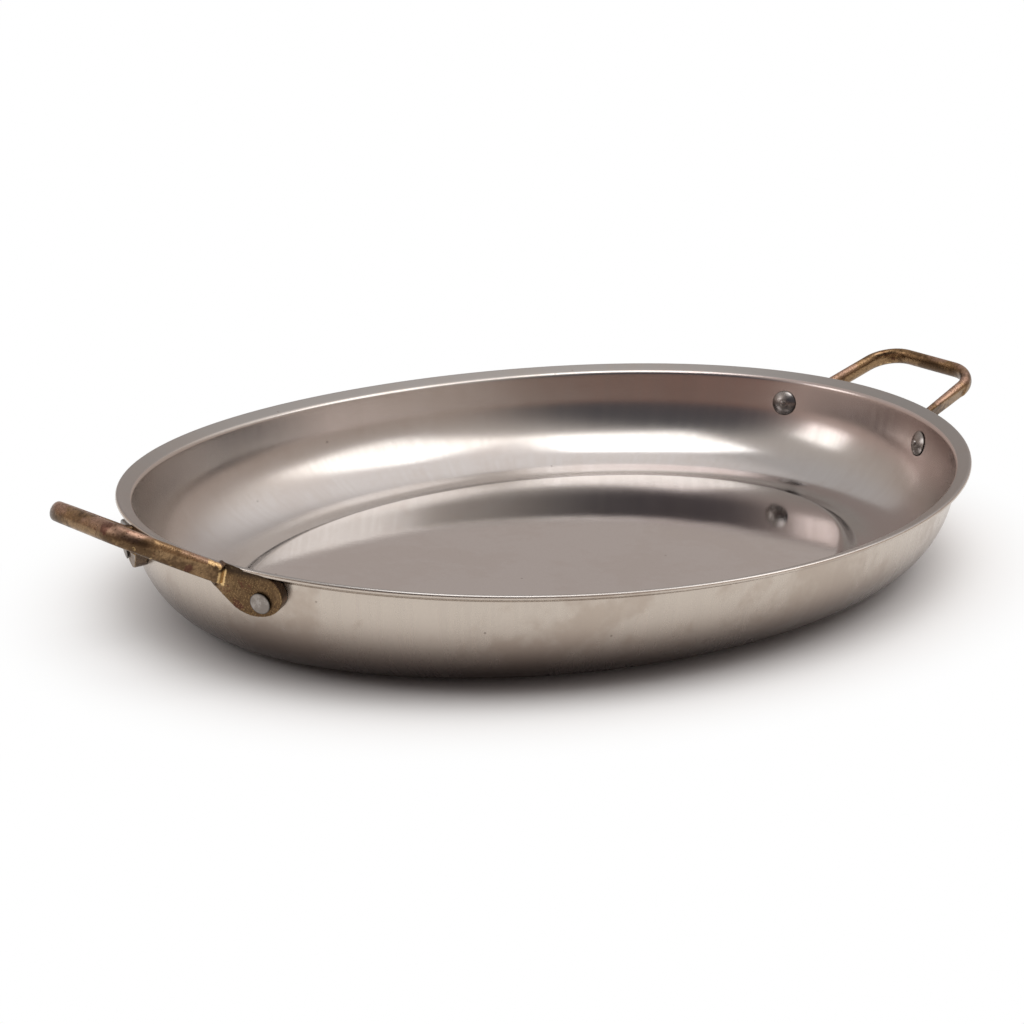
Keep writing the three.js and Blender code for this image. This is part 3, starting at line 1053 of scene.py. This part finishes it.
# The parts of the dish that are finished apart, as masks. The outer side is where the metal faces
# away from the middle of the dish, or down.
def steel_parts(tree, x, z, outward):
    normal = surface_direction(tree)
    level = split(tree, normal)[2]
    outward_or_down = calculate_vector(tree, "ADD", outward, (0, 0, -1))
    outer = spread(tree, measure(tree, "DOT_PRODUCT", normal, outward_or_down), 0.1, 0.5)
    inner = calculate(tree, "SUBTRACT", 1, outer)
    floor = multiply(tree, inner, spread(tree, z, *polished_floor_heights, 1, 0))
    right_end = multiply(tree, inner, spread(tree, x, *painted_pink_reflection_reach))
    high = spread(tree, z, *dull_and_shaded_lip_heights)
    return {
        "outer": outer,
        "floor": floor,
        "flat_floor": multiply(tree, floor, spread(tree, level, 0.9970, 0.9999)),
        # painted shade: the outer wall darkens towards the foot in place of the shadowed floor's
        # reflection
        "foot": multiply(tree, outer, spread(tree, z, *painted_foot_shade_heights, 1, 0)),
        # painted reflection: a pinkish, lighter tint on the inner wall at the right end
        "painted_pink_reflection": multiply(tree, right_end, spread(tree, z, *painted_pink_reflection_heights)),
        # the lip: a dull finish, and a darker colour that is painted shade
        "lip": multiply(tree, high, spread(tree, level, 0.70, 0.88)),
    }


# Steel: polished to a soft mirror inside and brushed up the wall, with faint brown stains, a dull lip
# dimmed in colour by painted shade, a foot darkened downward by a painted reflection of the floor's
# shadow, and a painted pinkish reflection at the right end
def steel_material():
    material, tree, shader, place = new_metal("brushed_steel_finish")
    x, y, z = split(tree, place)
    oval_x = calculate(tree, "DIVIDE", x, half_length)
    oval_y = calculate(tree, "DIVIDE", y, half_width)
    oval_place = combine(tree, oval_x, oval_y)
    outward = calculate_vector(tree, "NORMALIZE", oval_place)
    wall = spread(tree, measure(tree, "LENGTH", oval_place), 0.70, 0.82)
    parts = steel_parts(tree, x, z, outward)

    along = brushing_place(tree, outward, z)
    brushed = use(tree, brushed_grain, Along=along, Place=place, Line_Scale=420, Grain_Scale=2200)
    lines = multiply(tree, brushed["Lines"], wall)
    stain = use(tree, patches, Place=place, Scale=26, Level=0.46, Softness=0.14)["Mask"]
    stain = multiply(tree, stain, spread(tree, parts["outer"], 0, 1, 0.25, 1))
    dots = use(tree, specks, Place=place, Scale=130, Size=0.07, Share=0.10)["Mask"]

    colour = blend(tree, parts["outer"], (0.535, 0.505, 0.48), (0.56, 0.485, 0.415))
    colour = blend(tree, parts["floor"], colour, (0.525, 0.515, 0.515))
    # painted reflection: the right end's inner wall tinted pinkish and lighter
    colour = blend(tree, parts["painted_pink_reflection"], colour, (0.565, 0.485, 0.465))
    # painted shade: the lip's colour dimmed to stand in for a darker reflection
    colour = blend(tree, parts["lip"], colour, (0.32, 0.312, 0.308))
    colour = lay_over(tree, colour, lines, 0.08, (0.40, 0.35, 0.31))
    colour = lay_over(tree, colour, stain, 0.40, (0.34, 0.25, 0.19))
    colour = lay_over(tree, colour, brushed["Grain"], 0.12, (0.36, 0.33, 0.30))
    colour = lay_over(tree, colour, dots, 0.60, (0.14, 0.11, 0.09))
    # painted shade: the foot darkened in colour as the reflection of the shadowed floor
    colour = lay_over(tree, colour, parts["foot"], 0.95, (0.10, 0.070, 0.062))
    tree.links.new(colour, shader.inputs["Base Color"])

    rough = blend_numbers(tree, parts["outer"], 0.20, 0.25)
    rough = blend_numbers(tree, parts["floor"], rough, 0.12)
    rough = blend_numbers(tree, parts["flat_floor"], rough, 0.035)
    rough = blend_numbers(tree, parts["lip"], rough, 0.36)
    rough = add_share(tree, rough, lines, 0.03)
    rough = add_share(tree, rough, stain, 0.04)
    rough = add_share(tree, rough, brushed["Grain"], 0.01)
    tree.links.new(rough, shader.inputs["Roughness"])

    height = add_share(tree, noise(tree, place, 26, 2), brushed["Height"], 0.16)
    raise_surface(tree, shader, height, 0.00007)
    return material


# Brass: sand cast and browned with age, with pinkish copper patches lightened on upward faces as a
# painted sheen, bright edges, a milled pad full of gold flecks, a bare step with a painted highlight at
# its top, and a painted shadow under the lip
def brass_material():
    material, tree, shader, place = new_metal("aged_brass_finish")
    pad = attribute(tree, "pad_face")
    step = attribute(tree, "step_face")
    painted_lip_shadow = attribute(tree, "shade_under_lip")
    top = spread(tree, split(tree, surface_direction(tree))[2], 0.1, 0.9)

    patina = use(tree, patches, Place=place, Scale=75, Level=0.42, Softness=0.14)["Mask"]
    copper = use(tree, patches, Place=place, Scale=48, Level=0.46, Softness=0.10)["Mask"]
    rust = use(tree, patches, Place=place, Scale=160, Level=0.60, Softness=0.05)["Mask"]
    worn = use(tree, worn_edges, Place=place, Low=0.512, High=0.56, Breakup_Scale=650)["Mask"]
    gold = use(tree, specks, Place=place, Scale=2300, Size=0.50, Share=0.45)["Mask"]
    pits = use(tree, specks, Place=place, Scale=1100, Size=0.45, Share=0.25)["Mask"]
    grain = use(tree, brushed_grain, Along=place, Place=place, Line_Scale=500, Grain_Scale=1500)
    # copper patches, a real tone, lightened on the upward faces as a painted sheen from above
    copper_and_top_sheen = multiply(tree, copper, top)
    flecks = multiply(tree, gold, blend_numbers(tree, pad, 0.10, 0.40))
    bare_and_highlight = multiply(tree, step, 1.4)
    # the spots at the top of the step: rubbed gold brightened as a painted highlight
    for spot in mark_masks(tree, place, bare_and_highlight_spots):
        bare_and_highlight = calculate(tree, "MAXIMUM", bare_and_highlight, spot)

    colour = blend(tree, patina, (0.30, 0.19, 0.10), (0.105, 0.063, 0.034))
    # painted sheen: pinkish copper lightened where the brass faces up
    colour = blend(tree, copper_and_top_sheen, colour, (0.40, 0.255, 0.19))
    colour = lay_over(tree, colour, grain["Grain"], 0.45, (0.090, 0.052, 0.028))
    colour = lay_over(tree, colour, pad, 0.60, (0.128, 0.076, 0.037))
    colour = lay_over(tree, colour, rust, 0.70, (0.11, 0.045, 0.028))
    for spot in mark_masks(tree, place, dark_spots):
        colour = lay_over(tree, colour, spot, 0.72, (0.092, 0.034, 0.026))
    colour = blend(tree, flecks, colour, (0.46, 0.29, 0.13))
    colour = lay_over(tree, colour, pits, 0.50, (0.045, 0.026, 0.014))
    colour = lay_over(tree, colour, worn, 0.55, (0.60, 0.42, 0.20))
    # painted shadow: the pad's top and upper side darkened under the lip
    colour = lay_over(tree, colour, painted_lip_shadow, 0.85, (0.030, 0.020, 0.014))
    # the bare step face, and a painted highlight at the top of the step
    colour = lay_over(tree, colour, bare_and_highlight, 0.65, (0.86, 0.60, 0.29))
    tree.links.new(colour, shader.inputs["Base Color"])

    rough = spread(tree, patina, 0, 1, 0.24, 0.35)
    rough = add_share(tree, rough, worn, -0.06)
    rough = add_share(tree, rough, pad, 0.08)
    rough = add_share(tree, rough, step, 0.20)
    rough = add_share(tree, rough, grain["Lines"], 0.06)
    tree.links.new(rough, shader.inputs["Roughness"])

    height = add_share(tree, grain["Height"], pits, -0.3)
    raise_surface(tree, shader, height, 0.00009)
    return material


# Rivet metal: dull, with patches of tarnish and a dark line round each head. The outer heads are
# faintly turned in rings.
def rivet_material():
    ring_spacing = 0.0007
    material, tree, shader, place = new_metal("rivet_finish")
    radius = attribute(tree, "from_axis")
    outer = attribute(tree, "outer_head")
    rings = calculate(tree, "SINE", multiply(tree, radius, 2 * math.pi / ring_spacing))
    edge = blend_numbers(tree, outer, inner_head_diameter / 2, outer_head_diameter / 2)
    from_edge = calculate(tree, "SUBTRACT", edge, radius)
    rim = spread(tree, from_edge, 0.00005, 0.00045, 1, 0)
    tarnish = use(tree, patches, Place=place, Scale=260, Level=0.44, Softness=0.16)["Mask"]
    grain = use(tree, brushed_grain, Along=place, Place=place, Line_Scale=900, Grain_Scale=3000)
    worn = use(tree, worn_edges, Place=place, Low=0.53, High=0.60, Breakup_Scale=900)["Mask"]

    colour = blend(tree, outer, (0.33, 0.305, 0.295), (0.36, 0.325, 0.295))
    colour = lay_over(tree, colour, tarnish, 0.50, (0.17, 0.14, 0.12))
    colour = lay_over(tree, colour, worn, 0.70, (0.60, 0.56, 0.52))
    colour = lay_over(tree, colour, rim, 0.85, (0.045, 0.036, 0.030))
    tree.links.new(colour, shader.inputs["Base Color"])

    rough = spread(tree, outer, 0, 1, 0.22, 0.40)
    rough = add_share(tree, rough, tarnish, 0.10)
    tree.links.new(rough, shader.inputs["Roughness"])

    height = add_share(tree, grain["Height"], multiply(tree, rings, outer), 0.25)
    raise_surface(tree, shader, height, 0.00005)
    return material


# One end of the dish: its handle, and the holes and rivets in the wall. Everything is made at the
# right end and then turned to its own end. Places says which rivet is at side -1 and at side 1.
def fit_handle(dish, end, handle, turn, places, keep_clear):
    frames = {}
    for side in places:
        frames[side] = rivet_frame(handle["height"] + side * handle["skew"] / 2, side)
    casting = cast_handle(f"brass_handle_{end}", handle, frames, keep_clear)
    put_in_place(casting, turn)
    hand_over(casting, "brass", f"handle_{end}")
    for side, frame in frames.items():
        hole = hole_cutter(turn @ frame)
        cut_away(dish, hole)
        discard(hole)
        rivet = model_rivet(f"rivet_{end}_{places[side]}_turned")
        put_in_place(rivet, turn @ frame)
        hand_over(rivet, "rivet_metal", f"rivet_{end}_{places[side]}")


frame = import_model()
deselect_all()

place_camera()
light_world()
light_studio()
lay_floor()

brushed_grain = brushed_grain_group()
patches = patches_group()
specks = specks_group()
worn_edges = worn_edges_group()
mark = mark_group()
finishes = {"steel": steel_material(), "brass": brass_material(), "rivet_metal": rivet_material()}

dish = press_dish()
keep_clear = keep_clear_body()
half_turn = Matrix.Rotation(math.pi, 4, "Z")
no_turn = Matrix.Identity(4)
fit_handle(dish, "left", left_handle, half_turn, {-1: "back", 1: "front"}, keep_clear)
fit_handle(dish, "right", right_handle, no_turn, {-1: "front", 1: "back"}, keep_clear)
discard(keep_clear)
hand_over(dish, "steel", "dish_body")

bpy.context.scene.view_settings.view_transform = "Standard"
